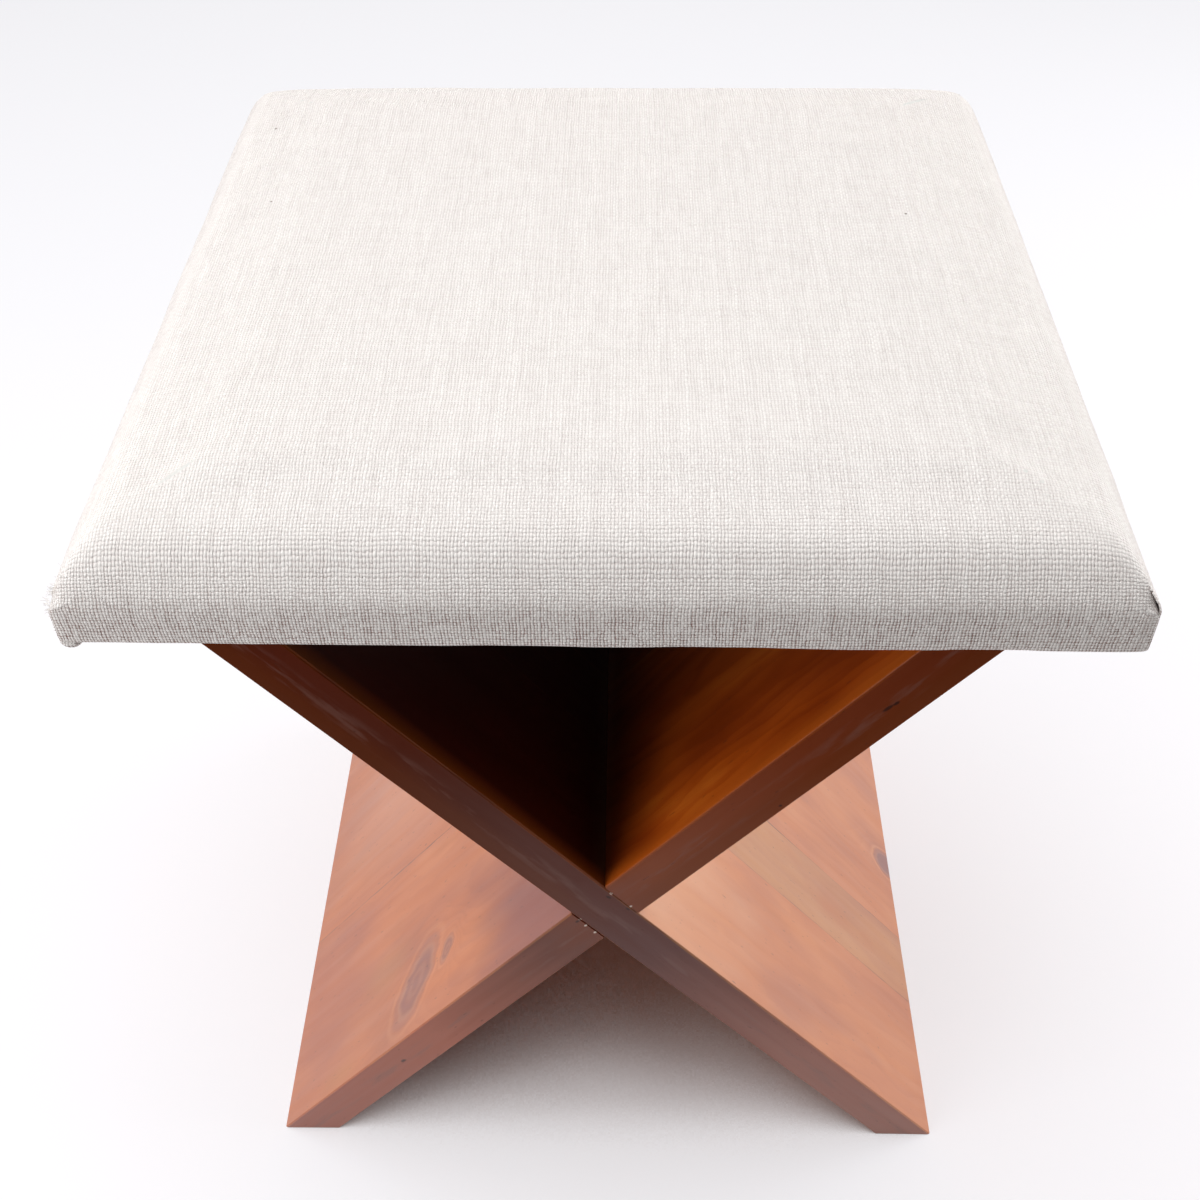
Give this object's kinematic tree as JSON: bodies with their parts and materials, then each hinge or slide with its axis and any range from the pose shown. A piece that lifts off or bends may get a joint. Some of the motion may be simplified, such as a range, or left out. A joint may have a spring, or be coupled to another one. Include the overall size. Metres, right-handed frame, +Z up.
{
  "type": "x frame stool",
  "caption": "Low stool with an upholstered rectangular seat on two solid wood panels cross-lapped as an X.",
  "frame": {"origin": "on the floor, under the middle of the stool", "axes": "+Z up; +X to the right and -Y towards the viewer, seen from the front, where the panels show as an X"},
  "size_m": [0.3824, 0.372, 0.482],
  "materials": {
    "stained_wood": "red-brown stain under satin lacquer, knotty softwood",
    "stained_wood_grey": "greyer board of the same softwood, satin lacquer",
    "cleat_wood": "bare softwood",
    "plywood": "bare plywood",
    "foam": "upholstery foam",
    "wadding": "polyester wadding",
    "cover_cloth": "off-white plain weave with slubs",
    "dust_cloth": "black cambric",
    "screw_steel": "yellow zinc plate"
  },
  "bodies": {
    "root": {"panel_a_front_board": "stained_wood", "panel_a_middle_board": "stained_wood_grey", "panel_a_rear_board": "stained_wood", "panel_b_front_board_upper": "stained_wood", "panel_b_front_board_lower": "stained_wood", "panel_b_rear_board": "stained_wood", "cleat_left": "cleat_wood", "cleat_right": "cleat_wood", "seat_screw_left_1": "screw_steel", "seat_screw_left_2": "screw_steel", "seat_screw_left_3": "screw_steel", "seat_screw_right_1": "screw_steel", "seat_screw_right_2": "screw_steel", "seat_screw_right_3": "screw_steel", "panel_screw_left_1": "screw_steel", "panel_screw_left_2": "screw_steel", "panel_screw_right_1": "screw_steel", "panel_screw_right_2": "screw_steel", "seat_board": "plywood", "foam_pad": "foam", "wadding": "wadding", "seat_cover": "cover_cloth", "dust_cover": "dust_cloth"}
  },
  "joints": []
}
